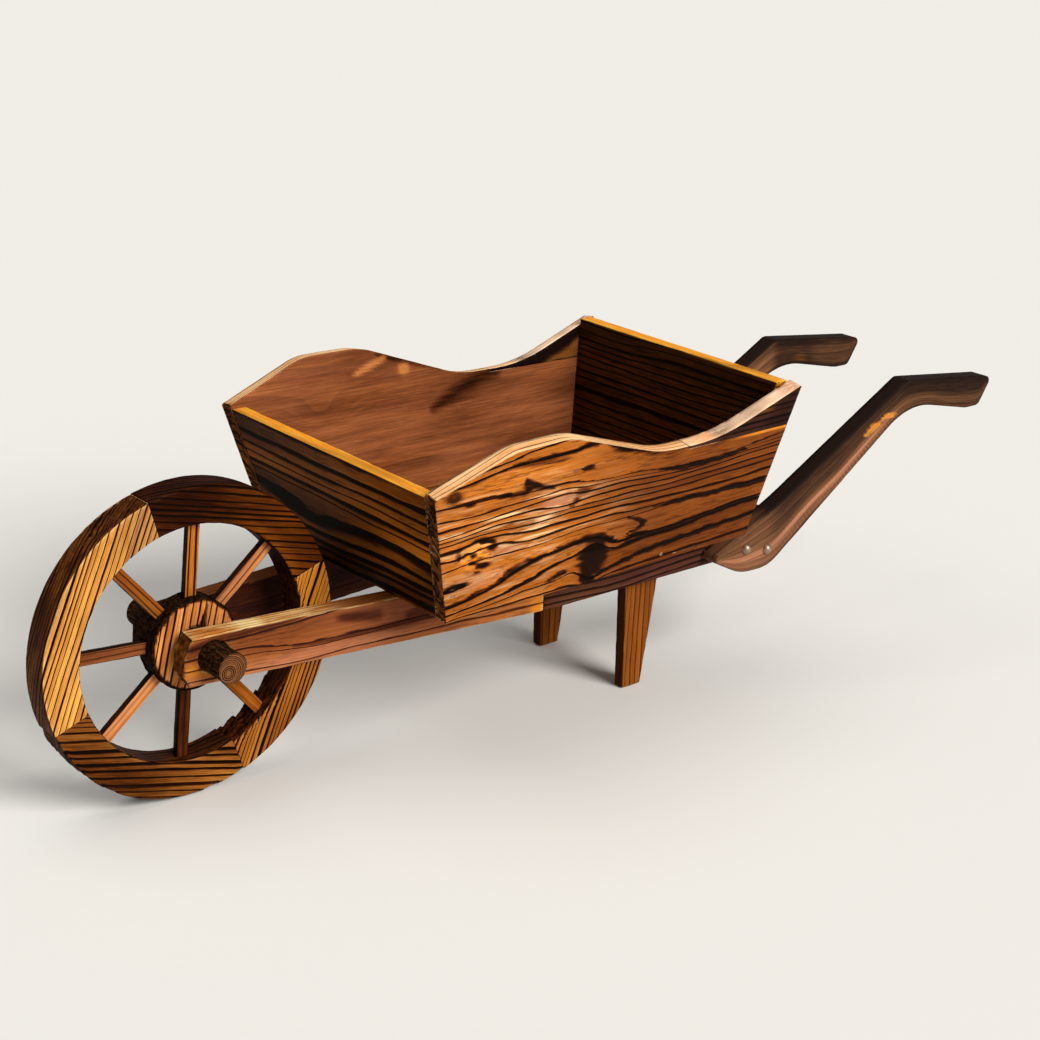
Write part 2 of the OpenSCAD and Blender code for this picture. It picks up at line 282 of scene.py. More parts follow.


# What is written on each point: scorched to coal, stained dark and painted shade, rubbed pale and painted highlights,
# golden and pink, these two also as painted glare, ring lines faded and thickened, and a second ring count for faces
# where "side" is 1
MARKS = ("burn", "dark", "wear", "gold", "pink", "faint", "thick", "side", "ring_side")


class Points:
    """The points of one cut piece: where they are and look, where they lie in the plank, their marks, how
    deep they sink and where they shift."""

    def __init__(self, bm, layer, node, wood, bend):
        self.node, self.near, self.seed = node, node.endswith("_left"), wood.seed
        self.low, self.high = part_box(node)
        self.co = np.array([v.co for v in bm.verts])
        self.normal = np.array([v.normal for v in bm.verts])
        self.edge = np.array([sum(f[layer] for f in v.link_faces) / max(1, len(v.link_faces))
                              for v in bm.verts])
        self.uvw = bend(node, self.co) if bend else wood.place(self.co)
        self.ring = wood.rings(self.uvw)
        self.x, self.y, self.z = self.co.T
        self.nx, self.ny, self.nz = self.normal.T
        self.u, self.v, self.w = self.uvw.T
        self.sink, self.shift = 0, 0
        for key in MARKS:
            setattr(self, key, np.zeros(len(self.co)))

    def reach(self, middle):
        """Distance from the wheel's or a log's middle line."""
        return np.hypot(self.x - middle[0], self.z - middle[2])


def show(context, bm, name, node, slot, crease):
    """Makes a piece in place of a node's solids, with the edges that turn more than the crease kept sharp."""
    for face in bm.faces:
        face.smooth = True
    for e in bm.edges:
        e.smooth = e.calc_face_angle(0) < math.radians(crease)
    mesh = bpy.data.meshes.new(name)
    bm.to_mesh(mesh)
    bm.free()
    mesh.materials.append(finish_of(slot))
    piece = bpy.data.objects.new(name, mesh)
    context.scene.collection.objects.link(piece)
    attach(piece, NODES[node]["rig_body"])
    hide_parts(node)
    return mesh


def dress(context, bm, node, slot, axes, cuts, marking=None, wear=1.0, bend=None, origin=None, edge=None,
          erode=None, **growth):
    """Rounds a solid's edges, cuts it finely, writes its grain and marks on its points and shows it."""
    cut = context.scene.barrow_cut
    layer = soften(bm, edge or cut.edge)
    for axis, step in cuts:
        slice_along(bm, axis, step)
    bmesh.ops.triangulate(bm, faces=[f for f in bm.faces if len(f.verts) > 4])
    bmesh.ops.recalc_face_normals(bm, faces=bm.faces[:])
    bm.verts.index_update()
    bm.normal_update()
    wood = Wood(origin or middle_of(node), axes, **growth)
    p = Points(bm, layer, node, wood, bend)
    # Edges rubbed pale, which also stands in as a painted highlight along the edges
    p.wear += p.edge * wear
    if marking:
        marking(p)
    sink = (erode or cut.erode) * (0.35 + 0.65 * p.edge) * grit(p.co, wood.seed, 170) + p.sink
    for vert, place in zip(bm.verts, p.co - p.normal * sink[:, None] + p.shift):
        vert.co = place
    mesh = show(context, bm, node + "_wood", node, slot, 50)
    fibre = (p.uvw + wood.seed * np.array((0.37, 0.11, 0.05))).astype(np.float32)
    mesh.attributes.new("fibre", "FLOAT_VECTOR", "POINT").data.foreach_set("vector", fibre.ravel())
    for key in ("ring",) + MARKS:
        values = getattr(p, key).astype(np.float32)
        mesh.attributes.new(key, "FLOAT", "POINT").data.foreach_set("value", values)


def plank(context, node, slot, seed, marking=None, along=None, cell=None, fine=None, **more):
    """Dresses a sawn piece, with its grain along its longest edge or the given direction."""
    cut = context.scene.barrow_cut
    bm = solid(node)
    along, through = grain_axes(bm, along)
    across = through.cross(along)
    if across.dot(Z) < 0:
        across = -across
    if through.dot(middle_of(node)) < 0:
        through = -through
    steps = (cell or cut.cell, fine or cut.fine, 0.004)
    cuts = [(axis, step * coarseness()) for axis, step in zip((along, across, through), steps)]
    dress(context, bm, node, slot, (along, across, through), cuts, marking, seed=seed, **more)


def pair(context, kind, seeds, marking=None, **more):
    """Dresses the left and the right piece of one kind."""
    for node, seed in zip((kind + "_left", kind + "_right"), seeds):
        plank(context, node, kind + "_wood", seed, marking, **more)
    return {"FINISHED"}


def disc(context, node, slot, seed, turn, steps, marking, **more):
    """Dresses a piece of the wheel whose grain runs at a turn, in degrees, in the wheel's plane."""
    along = Vector((math.cos(math.radians(turn)), 0, math.sin(math.radians(turn))))
    across = Vector((-along.z, 0, along.x))
    cuts = zip((X, Z, Y), steps)
    dress(context, solid(node), node, slot, (along, across, -Y), cuts, marking, seed=seed, **more)


# Finishes

def tone(red, green, blue):
    """A colour from its 0 to 255 screen values."""
    def straight(c):
        c = c / 255
        return c / 12.92 if c <= 0.04045 else ((c + 0.055) / 1.055) ** 2.4
    return (straight(red), straight(green), straight(blue), 1.0)


class Graph:
    """Short hand for adding and joining shader nodes."""

    def __init__(self, tree):
        self.tree = tree
        self.column = 0

    def add(self, kind, inputs=None, **settings):
        node = self.tree.nodes.new(kind)
        self.column += 1
        node.location = (self.column * 40, -self.column % 7 * 160)
        for key, value in settings.items():
            setattr(node, key, value)
        self.fill(node, inputs or {})
        return node

    def fill(self, node, inputs):
        """Joins each input to a socket, or gives it a value."""
        for key, value in inputs.items():
            if isinstance(value, bpy.types.NodeSocket):
                self.tree.links.new(value, node.inputs[key])
            else:
                node.inputs[key].default_value = value

    def math(self, operation, a, b=0.0, c=0.0, clamp=False):
        return self.add("ShaderNodeMath", {0: a, 1: b, 2: c}, operation=operation, use_clamp=clamp).outputs[0]

    def mul(self, a, b, clamp=False):
        return self.math("MULTIPLY", a, b, clamp=clamp)

    def mad(self, a, b, c, clamp=False):
        """a times b, plus c."""
        return self.math("MULTIPLY_ADD", a, b, c, clamp)

    def sub(self, a, b):
        return self.math("SUBTRACT", a, b)

    def step(self, value, low, high):
        return self.add("ShaderNodeMapRange", {"Value": value, "From Min": low, "From Max": high},
                        interpolation_type="SMOOTHSTEP").outputs["Result"]

    def mix(self, factor, a, b, blend="MIX"):
        node = self.add("ShaderNodeMix", data_type="RGBA", blend_type=blend, clamp_factor=True)
        self.fill(node, {0: factor, 6: a, 7: b})
        return node.outputs[2]

    def deep(self, share):
        """Lets a share of black count on the screen value, not on the light."""
        left = self.math("SUBTRACT", 1.0, share, clamp=True)
        return self.sub(1.0, self.math("POWER", left, 2.2))

    def grain(self, place, along, across, detail=2.0, rough=0.5):
        """Noise that is drawn out along the fibres."""
        place = self.add("ShaderNodeMapping", {"Vector": place, "Scale": (along, across, across)}).outputs[0]
        return self.add("ShaderNodeTexNoise", {"Vector": place, "Scale": 1.0, "Detail": detail,
                                               "Roughness": rough}).outputs["Fac"]


def torched_group():
    """The shared finish: ring lines, fibres, scorching, worn edges, painted highlights and painted shade."""
    tree = bpy.data.node_groups.get("torched_wood")
    if tree:
        return tree
    tree = bpy.data.node_groups.new("torched_wood", "ShaderNodeTree")
    for way, kind, labels in (
            ("INPUT", "Color", ("Light", "Deep", "Line", "Red", "Pale")), ("INPUT", "Vector", ("Fibre",)),
            ("INPUT", "Float", ("Ring", "Burn", "Dark", "Wear", "Gold", "Pink", "Faint", "Thick", "Side",
                                "Ring Side", "Line Width", "Contrast", "Redness", "Warmth")),
            ("OUTPUT", "Color", ("Color",)), ("OUTPUT", "Float", ("Roughness", "Height"))):
        for label in labels:
            tree.interface.new_socket(label, in_out=way, socket_type="NodeSocket" + kind)
    g = Graph(tree)
    given = g.add("NodeGroupInput").outputs
    fibre, plain = given["Fibre"], g.sub(1.0, given["Faint"])
    slow = g.grain(fibre, 14, 90, 3.0)
    fine = g.grain(fibre, 90, 1500, 2.0, 0.6)
    hair = g.grain(fibre, 40, 420, 3.0, 0.55)
    patch = g.grain(fibre, 9, 32)
    broad = g.grain(fibre, 5, 14)

    # The ring line, its width and depth thrown by dice for each ring
    turned = g.math("GREATER_THAN", given["Side"], 0.5)
    ring = g.mad(turned, g.sub(given["Ring Side"], given["Ring"]), given["Ring"])
    ring = g.mad(g.sub(slow, 0.5), 0.45, ring)
    ring = g.mad(g.sub(hair, 0.5), 0.16, ring)
    turn = g.math("FRACT", ring)
    dice = g.add("ShaderNodeTexWhiteNoise", {"W": g.math("FLOOR", ring)}, noise_dimensions="1D")
    dice_a, dice_b, dice_c = g.add("ShaderNodeSeparateColor", {0: dice.outputs["Color"]}).outputs
    width = g.mul(given["Line Width"], g.mad(dice_a, 1.1, 0.45))
    width = g.mul(width, g.math("ADD", given["Thick"], 1.0))
    line = g.step(turn, g.sub(1.0, g.mul(width, 1.5)), g.sub(1.0, g.mul(width, 0.7)))
    line = g.math("MAXIMUM", line, g.sub(1.0, g.step(turn, 0.0, 0.035)))
    line = g.mul(line, g.mul(g.mad(dice_b, 0.3, 0.7), g.mad(g.step(hair, 0.22, 0.5), 0.15, 0.85)))

    # The wood between the lines
    shade = g.mad(turn, 0.4, g.mul(dice_c, 0.6))
    shade = g.mad(g.sub(patch, 0.5), 1.4, shade, clamp=True)
    colour = g.mix(shade, given["Light"], given["Deep"])
    thin = g.step(g.math("FRACT", g.mad(ring, 4.0, g.mul(hair, 1.6))), 0.6, 0.85)
    thin = g.mul(thin, g.mul(g.step(slow, 0.4, 0.6), plain))
    colour = g.mix(g.mul(thin, 0.5), colour, given["Deep"])
    colour = g.mix(g.deep(g.mul(thin, 0.22)), colour, given["Line"])
    colour = g.mix(g.mul(g.step(broad, 0.45, 0.7), given["Redness"]), colour, given["Red"])
    colour = g.mix(g.mul(given["Gold"], 0.9), colour, tone(226, 140, 38))
    colour = g.mix(g.mul(given["Pink"], 0.9), colour, tone(196, 132, 100))
    streak = g.grain(fibre, 12, 800, 2.0, 0.6)
    fleck = g.mad(fine, 0.7, g.mad(streak, 1.2, 0.05))
    grey = g.add("ShaderNodeCombineColor", {0: fleck, 1: fleck, 2: fleck}).outputs[0]
    colour = g.mix(0.85, colour, grey, "MULTIPLY")

    # Rubbed pale and painted highlight, stained dark and painted shade, lined and burnt
    # Pale rubbed wear and painted highlights are mixed in here
    rubbed_and_lit = g.mul(g.math("MINIMUM", given["Wear"], 1.0), g.step(hair, 0.4, 0.6))
    rubbed_and_lit = g.math("MAXIMUM", g.mul(rubbed_and_lit, 0.6), g.sub(given["Wear"], 1.0), clamp=True)
    colour = g.mix(rubbed_and_lit, colour, given["Pale"])
    line = g.mul(line, plain)
    drawn = g.mul(line, given["Contrast"])
    # Dark stains and painted shade are mixed in here
    stain_and_shade_amount = g.mul(given["Dark"], g.mad(hair, 0.9, 0.55), clamp=True)
    warm = g.mul(g.math("MAXIMUM", stain_and_shade_amount, drawn), given["Warmth"])
    colour = g.mix(warm, colour, tone(255, 160, 66), "MULTIPLY")
    colour = g.mix(g.deep(stain_and_shade_amount), colour, g.mix(0.03, given["Line"], given["Red"]))
    colour = g.mix(g.deep(drawn), colour, given["Line"])
    crust = g.grain(fibre, 260, 520, 4.0, 0.6)
    crumb = g.step(crust, 0.35, 0.75)
    coal = g.mix(crumb, tone(8, 4, 2), tone(62, 36, 18))
    burn = g.mul(given["Burn"], g.mad(crumb, -0.25, 1.0), clamp=True)
    colour = g.mix(burn, colour, coal)

    height = g.mul(g.sub(1.0, line), 0.75)
    height = g.mad(fine, 0.16, height)
    height = g.mad(hair, 0.25, height)
    height = g.mad(g.mul(crust, burn), 1.1, height)
    gloss = g.mad(line, 0.2, g.mad(fine, 0.15, 0.4))
    gloss = g.mad(burn, 0.3, gloss, clamp=True)
    g.add("NodeGroupOutput", {"Color": colour, "Roughness": gloss, "Height": height})
    return tree


# Light wood, deep wood, ring line, scorched red, worn pale and painted highlight, line width, contrast, redness,
# warmth of the dark stains and painted shade
TONES = {
    "rim_wood": ((236, 172, 84), (164, 96, 36), (12, 3, 0), (140, 66, 30), (252, 214, 150), 0.2, 1.0, 0.25, 1.0),
    "rim_dark_wood": ((160, 84, 26), (70, 30, 8), (12, 4, 1), (80, 30, 14), (206, 132, 66), 0.3, 1.0, 0.5, 0.9),
    "spoke_wood": ((214, 136, 60), (152, 84, 36), (14, 4, 1), (142, 78, 50), (240, 180, 130), 0.19, 0.95, 0.35, 0.9),
    "hub_wood": ((222, 150, 80), (172, 98, 46), (12, 4, 1), (160, 88, 58), (244, 190, 130), 0.19, 1.0, 0.3, 1.0),
    "axle_wood": ((140, 90, 54), (92, 56, 32), (34, 17, 8), (92, 50, 32), (170, 114, 78), 0.28, 0.9, 0.4, 0.6),
    "rail_wood": ((190, 114, 58), (140, 78, 38), (40, 17, 13), (112, 62, 52), (250, 222, 156), 0.14, 0.85, 0.5, 0.7),
    # The beam's tones are darkened as painted shade under the tray
    "beam_wood": ((112, 68, 42), (68, 40, 26), (26, 12, 9), (74, 40, 38), (160, 104, 74), 0.2, 0.75, 0.6, 0.3),
    "handle_wood": ((142, 97, 64), (108, 73, 47), (26, 17, 14), (104, 62, 52), (176, 120, 88), 0.16, 0.7, 0.45, 0.15),
    "leg_wood": ((142, 80, 24), (116, 60, 18), (50, 22, 6), (106, 56, 24), (170, 124, 84), 0.15, 0.5, 0.3, 0.5),
    "side_wood": ((208, 122, 42), (142, 75, 20), (14, 5, 1), (128, 70, 42), (253, 210, 158), 0.21, 1.0, 0.4, 0.75),
    "horn_wood": ((118, 68, 40), (68, 37, 25), (16, 7, 5), (76, 38, 36), (248, 212, 180), 0.2, 0.85, 0.5, 0.3),
    "end_board_wood": ((196, 114, 28), (126, 70, 14), (15, 7, 1), (96, 48, 18), (246, 198, 74), 0.24, 1.0, 0.3, 0.5),
    "floor_wood": ((150, 92, 46), (104, 60, 28), (30, 14, 6), (86, 46, 26), (176, 116, 70), 0.2, 0.8, 0.3, 0.6),
}


def new_material(name):
    """A material with its shader and its graph."""
    material = bpy.data.materials.new(name)
    material.use_nodes = True
    return material, material.node_tree.nodes["Principled BSDF"], Graph(material.node_tree)


def wood_finish(slot):
    light, deep, line, red, pale, width, contrast, redness, warmth = TONES[slot]
    material, shader, g = new_material(slot + "_finish")
    fibre = g.add("ShaderNodeAttribute", attribute_name="fibre").outputs["Vector"]
    feeds = {"Light": tone(*light), "Deep": tone(*deep), "Line": tone(*line), "Red": tone(*red),
             "Pale": tone(*pale), "Fibre": g.add("ShaderNodeMapping", {"Vector": fibre}).outputs[0],
             "Line Width": width, "Contrast": contrast, "Redness": redness, "Warmth": warmth}
    for key in ("ring",) + MARKS:
        feeds[key.replace("_", " ").title()] = g.add("ShaderNodeAttribute", attribute_name=key).outputs["Fac"]
    group = g.add("ShaderNodeGroup", node_tree=torched_group())
    g.fill(group, feeds)
    bump = g.add("ShaderNodeBump", {"Height": group.outputs["Height"], "Strength": 0.8, "Distance": 0.0011})
    g.fill(shader, {"Base Color": group.outputs["Color"], "Roughness": group.outputs["Roughness"],
                    "Normal": bump.outputs[0], "Coat Weight": 0.01, "Coat Roughness": 0.22,
                    "Specular IOR Level": 0.02})
    return material


def steel_finish(slot):
    material, shader, g = new_material(slot + "_finish")
    mottle = g.grain(g.add("ShaderNodeTexCoord").outputs["Object"], 300, 300, 3.0)
    g.fill(shader, {"Base Color": g.mix(mottle, tone(190, 160, 136), tone(120, 98, 84)),
                    "Roughness": g.mad(mottle, 0.25, 0.28), "Metallic": 0.85})
    return material


def finish_of(slot):
    made = bpy.data.materials.get(slot + "_finish")
    return made or (steel_finish(slot) if slot.endswith("steel") else wood_finish(slot))


# Settings

class BARROW_PG_cut(bpy.types.PropertyGroup):
    cell: bpy.props.FloatProperty(name="Cell", description="Spacing of the cuts along a plank", default=0.004,
                                  min=0.001, unit="LENGTH")
    fine: bpy.props.FloatProperty(name="Fine cell", description="Spacing of the cuts across a plank",
                                  default=0.0025, min=0.0008, unit="LENGTH")
    edge: bpy.props.FloatProperty(name="Edge", description="Width of the worn edges", default=0.0012,
                                  min=0.0, unit="LENGTH")
    erode: bpy.props.FloatProperty(name="Erosion", description="Depth of the brushed unevenness",
                                   default=0.0005, min=0.0, unit="LENGTH")


class BARROW_PG_stage(bpy.types.PropertyGroup):
    lens: bpy.props.FloatProperty(name="Lens", description="Focal length of the camera", default=69.45,
                                  unit="CAMERA")
    turn: bpy.props.FloatProperty(name="Turn", description="Direction the camera looks from",
                                  default=math.radians(-41.1), unit="ROTATION")
    tilt: bpy.props.FloatProperty(name="Tilt", description="Height angle of the camera",
                                  default=math.radians(20.0), unit="ROTATION")
    roll: bpy.props.FloatProperty(name="Roll", description="Sideways lean of the camera",
                                  default=math.radians(2.7), unit="ROTATION")
    key: bpy.props.FloatProperty(name="Key", description="Strength of the main light", default=3.6,
                                 unit="NONE")
    fill: bpy.props.FloatProperty(name="Fill", description="Strength of the light from all around",
                                  default=0.25, unit="NONE")


# Pieces. A mark function writes the marks of one kind of piece on its points p.

# Distance of a rail's outer face from the middle, where its lines are drawn
RAIL_FACE = 0.0437
# Ring lines of a rail, as (along from the axle, up from its underside) in millimetres
RAIL_LINES = (
    ((-30, -6), (330, -6)),
    ((-28, 5), (0, 5.5), (30, 4.5), (70, 3.5), (110, 5), (150, 6), (200, 7.5), (330, 9)),
    ((-28, 14), (-10, 14), (20, 18), (40, 18), (60, 17), (90, 14.5), (120, 15.5), (150, 16), (200, 18),
     (330, 20)),
    ((-28, 24), (28, 25), (60, 20.5), (75, 18.5), (90, 17.5), (120, 18), (150, 18.5), (200, 21), (330, 24)),
    ((-28, 32), (0, 35), (20, 35.5), (40, 36.5), (60, 38.5), (90, 41), (120, 44), (330, 47)),
    ((-28, 40), (20, 40.5), (50, 44), (330, 52)),
)
# Dark strokes along these rings, as (along, up, half width)
RAIL_STROKES = (
    ((-20, 33, 2.5), (0, 37, 3), (20, 38, 3), (60, 40.5, 2), (80, 42, 0.8)),
    ((70, 17.5, 0.8), (90, 16, 1.6), (140, 16.5, 1.8), (210, 19, 2.2)),
    ((180, 24, 3), (215, 28, 6)),
    ((115, 34, 3), (150, 30, 5)),
)


def mark_rail(p):
    nose = np.maximum(ease(-p.nx, 0.45, 0.7), 1 - ease(p.x, p.low[0], p.low[0] + 0.003))
    coal, stain_and_shade_amount = (0.62, 0.34) if p.near else (1.2, 0.7)
    p.burn += nose * (coal + 0.8 * noise(p.co, p.seed, 420))
    p.gold += nose * 0.8
    p.dark += nose * stain_and_shade_amount
    # Painted shade: the far rail is darkened, most at its front end and on all but its outer face
    if not p.near:
        p.dark += 0.75 * (1 - ease(p.u, -0.002, 0.03)) + 0.42 * (1 - facing(p.ny))
    p.faint += nose
    p.sink += nose * 0.0028 * grit(p.co, p.seed, 330)

    # The top is rubbed pale with a painted highlight and a painted sun patch, faint on the far rail and darker
    # towards the rear
    top = ease(p.nz, 0.6, 0.95)
    rear = ease(p.u, 0.07, 0.16)
    sweep = p.uvw * np.array((12, 0, 70))
    rubbed_and_lit = top if p.near else 0.15 * top
    p.side += top
    p.ring_side += p.w / 0.0042 + 0.7 * noise(sweep, p.seed + 2)
    p.gold += top * (0.3 + 0.3 * noise(sweep, p.seed + 3, 2.0))
    p.dark += top * rear * (0.36 + 0.15 * noise(sweep, p.seed + 5, 1.3))
    p.wear += rubbed_and_lit * (0.9 + 0.5 * noise(sweep, p.seed + 1, 1.6)) * (1 - 0.8 * rear)
    p.wear += rubbed_and_lit * 0.9 * blob(p.uvw, 34, 42, 12, 60)
    p.gold += top * rear * 0.5

    inside = facing(p.ny if p.near else -p.ny)
    p.dark += (1 - ease(np.abs(p.u - 0.12), 0.06, 0.2)) * 0.05
    # Painted shade on the inner face and the underside
    p.dark += inside * 0.27 + facing(-p.nz) * 0.27
    for mark in RAIL_STROKES:
        p.dark += stroke(p.uvw, mark) * 0.45 * (1 - top)
    p.gold += ease(p.x, p.high[0] - 0.018, p.high[0] - 0.01) * 0.8
    face = (1 - top) * (1 - inside) * (1 - nose)
    p.dark += face * (0.3 * blob(p.uvw, -14, 30, 14, 7) + 0.15 * blob(p.uvw, 60, 30, 60, 12))
    p.gold += face * 0.5 * blob(p.uvw, -12, 14, 16, 6)
    p.pink += face * 0.4 * (blob(p.uvw, 20, 3, 60, 4) + blob(p.uvw, 110, 8, 70, 6))


class BARROW_OT_rails(bpy.types.Operator):
    """Two pale rails that carry the axle"""
    bl_idname = "barrow.rails"
    bl_label = "Rails"

    def execute(self, context):
        for node, seed, face in (("rail_left", 3, -RAIL_FACE), ("rail_right", 11, RAIL_FACE)):
            corner = Vector((AXLE.x, face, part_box(node)[0].z))
            plank(context, node, "rail_wood", seed, mark_rail, fine=0.0015, origin=corner, wander=0.12,
                  drawn=drawn_rings(RAIL_LINES))
        return {"FINISHED"}


def mark_beam(p):
    # Painted shade on the underside and the ends
    p.dark += facing(-p.nz) * 0.27 + facing(np.abs(p.nx)) * 0.45


class BARROW_OT_beams(bpy.types.Operator):
    """Two beams under the tray, darkened with painted shade"""
    bl_idname = "barrow.beams"
    bl_label = "Beams"

    def execute(self, context):
        return pair(context, "beam", (5, 13), mark_beam, wear=0.3, pith=(-0.05, 0.02), pitch=0.006,
                    wander=0.8)


# Where a handle starts, and how deep it is where its bands are measured
HANDLE_START, HANDLE_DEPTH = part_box("beam_left")[1].x, 0.034
# Bands along a handle, from share to share of its depth below the top edge: kind, strength. The dark top band is
# partly painted shade and the pink bands partly painted highlight
HANDLE_BANDS = {
    "handle_left": ((-0.3, 0.2, "dark", 0.62), (0.2, 0.5, "dark", 0.48), (0.5, 0.6, "dark", 0.2),
                    (0.6, 0.78, "pink", 0.75), (0.78, 0.88, "dark", 0.28), (0.88, 0.94, "pink", 0.35),
                    (0.94, 1.3, "dark", 0.4)),
    "handle_right": ((-0.3, 0.2, "dark", 0.3), (0.6, 0.8, "pink", 0.2), (0.85, 1.3, "dark", 0.3)),
}
# Golden spots on the left handle, as (along, height, half width) in millimetres
HANDLE_SPOTS = (
    ((115, 213, 2.5), (124, 219, 4.5), (132, 221, 2.5)),
    ((138, 226, 2), (146, 228, 4), (155, 227, 2)),
)


def bend_handle(node, co):
    """Places along, down and through a handle, measured round its bend."""
    top, bottom = outline(node, co[:, 0])
    share = np.clip((top - co[:, 2]) / np.maximum(top - bottom, 0.002), 0, 1)
    return stack((co[:, 0] - HANDLE_START) * 1.12, -HANDLE_DEPTH * share, co[:, 1] - middle_of(node).y)


def mark_handle(p):
    share, x = -p.v / HANDLE_DEPTH, (p.x - HANDLE_START) / MM
    share = share + 0.05 * noise(p.uvw, p.seed, (22, 0, 0))
    for first, last, kind, strength in HANDLE_BANDS[p.node]:
        band = ease(share, first - 0.06, first + 0.06) * (1 - ease(share, last - 0.06, last + 0.06))
        fade = 0.25 + 0.75 * ease(x, -25, 20) if kind == "dark" else 1 - ease(x, 110, 180)
        mark = getattr(p, kind)
        mark += band * strength * fade
    p.pink += 0.12 * (1 - ease(x, -20, 10))
    p.dark += 0.12 * (1 - ease(x, -10, 20))
    p.dark += 0.25 * ease(x, 130, 190)
    p.faint += 0.75
    # Painted shade on the top face from the handle's start onwards
    p.dark += ease(p.nz, 0.5, 0.8) * 0.6 * ease(x, -40, 0)
    p.dark *= 1 - 0.3 * (ease(p.nz, 0.8, 0.95) * ease(x, 170, 185))
    flank = stack(x, p.z / MM) * MM
    if p.near:
        flank = flank + 0.002 * noise(p.co, 31, 210)[:, None]
        spots = np.maximum(*(stroke(flank, marks, 0.3) for marks in HANDLE_SPOTS)) * ease(-p.ny, 0.1, 0.4)
        p.gold += spots * (0.8 + 0.3 * noise(p.co, 4, 130))
        p.faint += spots
        p.dark *= 1 - np.clip(spots, 0, 1)
    else:
        p.dark += 0.35 * ease(x, 165, 180) * (1 - 0.6 * ease(x, 215, 250))
        p.gold += 0.7 * blob(flank, 212, 232, 9, 8)


class BARROW_OT_handles(bpy.types.Operator):
    """Two bent handles"""
    bl_idname = "barrow.handles"
    bl_label = "Handles"

    def execute(self, context):
        return pair(context, "handle", (7, 17), mark_handle, along=X, fine=0.0015, wear=0.0, bend=bend_handle,
                    pith=(-0.06, 0.01), pitch=0.005, wander=0.6)


def mark_leg(p):
    # Painted shade on the front face, which looks away from the light
    p.dark += facing(-p.nx) * 0.7


class BARROW_OT_legs(bpy.types.Operator):
    """Two tapered legs"""
    bl_idname = "barrow.legs"
    bl_label = "Legs"

    def execute(self, context):
        return pair(context, "leg", (2, 9), mark_leg, along=Z, wear=0.4, pith=(-0.04, 0.03), pitch=0.005)


# Front bottom corner of the right side board, which the left one mirrors
SIDE_CORNER = (-0.2189, 0.131, 0.154)
# Ring lines of the left side board, as (along, up) in millimetres from its front bottom corner
SIDE_LINES = (
    ((-40, -5), (400, -5)),
    ((-10, 2), (20, 3.5), (60, 2.5), (100, 2), (135, 1), (150, -3), (165, -3), (180, 2), (220, 4),
     (300, 5), (400, 6)),
    ((-10, 2.5), (20, 5.7), (40, 6.5), (60, 8.6), (80, 10.7), (100, 11), (117, 12), (126, 15), (135, 16),
     (145, 11), (152, 4), (160, 0), (172, 3), (185, 9), (200, 12), (220, 15), (240, 17), (260, 18),
     (300, 20), (340, 22), (400, 24)),
    ((-10, 7), (20, 10.7), (40, 12.9), (60, 14.3), (80, 17.9), (94, 20.7), (100, 24.3), (117, 28.6),
     (138, 32.9), (150, 37), (160, 38), (170, 34), (180, 28), (190, 27), (220, 31), (260, 31), (280, 33),
     (300, 35), (340, 37), (400, 39)),
    ((-10, 15.5), (20, 19.5), (40, 23), (50, 26), (58, 31), (70, 36), (85, 39.5), (105, 41.5), (115, 42.5),
     (130, 45), (150, 46.5), (160, 45), (170, 40), (178, 35), (190, 32), (220, 34), (260, 34.5), (300, 38),
     (340, 40), (400, 42)),
    ((-20, 50), (0, 52), (45, 53.5), (60, 52.5), (80, 53), (100, 54), (120, 56), (140, 57.5), (160, 57),
     (180, 56.5), (200, 56), (220, 57), (240, 58), (260, 57), (300, 56), (320, 55), (340, 54), (400, 53)),
    ((-25, 62), (0, 61), (20, 64), (42, 66), (50, 66), (60, 63), (75, 61), (90, 60.5), (120, 62),
     (140, 63), (180, 63.5), (200, 62), (240, 61), (260, 59.5), (300, 59), (340, 58), (400, 58)),
    ((-25, 71), (0, 72), (30, 75), (45, 74.5), (60, 72), (80, 69.5), (100, 70), (140, 70.5), (180, 71),
     (200, 70), (240, 68), (280, 67), (320, 67), (400, 68)),
    ((-25, 77), (20, 79), (40, 78.5), (60, 77), (80, 76), (100, 76.5), (120, 78), (180, 76), (220, 75),
     (260, 74), (300, 75), (400, 78)),
    ((-25, 81), (0, 81.5), (20, 83), (40, 84.5), (60, 84), (80, 82), (100, 81.5), (180, 82), (240, 80),
     (300, 81), (400, 84)),
    ((-25, 84), (0, 85), (20, 86.5), (40, 88.5), (60, 90), (80, 90), (100, 87), (115, 85), (135, 87),
     (180, 88), (240, 85), (300, 87), (400, 91)),
    ((-25, 91), (0, 91.5), (20, 92), (40, 93.5), (60, 95), (90, 96.5), (110, 98), (120, 97), (130, 94),
     (180, 94.5), (220, 91), (260, 89), (300, 91), (400, 96)),
    ((-28, 101), (0, 99.3), (20, 99.5), (40, 101), (60, 102), (90, 101.5), (110, 102.5), (120, 101.5),
     (135, 99.5), (180, 98), (220, 94.5), (260, 91), (300, 93), (400, 99)),
    ((-30, 112), (0, 110), (32, 110), (60, 108), (80, 107), (100, 106), (120, 106.5), (135, 103.5),
     (150, 101.5), (180, 100.5), (200, 100), (220, 97), (240, 94), (260, 92.5), (290, 94), (320, 96),
     (340, 97.5), (360, 99.5), (385, 103), (400, 105)),
    ((-34, 127), (0, 130), (28, 135), (43, 137.3), (80, 137.3), (110, 137), (120, 137.5), (130, 139.5),
     (138, 140.5), (146, 138.5), (156, 134), (170, 129), (200, 120), (240, 114), (400, 128)),
    ((-34, 132), (30, 140), (49, 143.5), (59, 146.8), (80, 148), (92, 149), (110, 151), (400, 160)),
    ((-34, 150), (400, 172)),
)
# Places where these rings close into a loop: along, up, half length, half height, lift
SIDE_BULGES = (
    (5, 33, 52, 9, 0.6),
    (120, 15, 14, 4, 0.5),
)
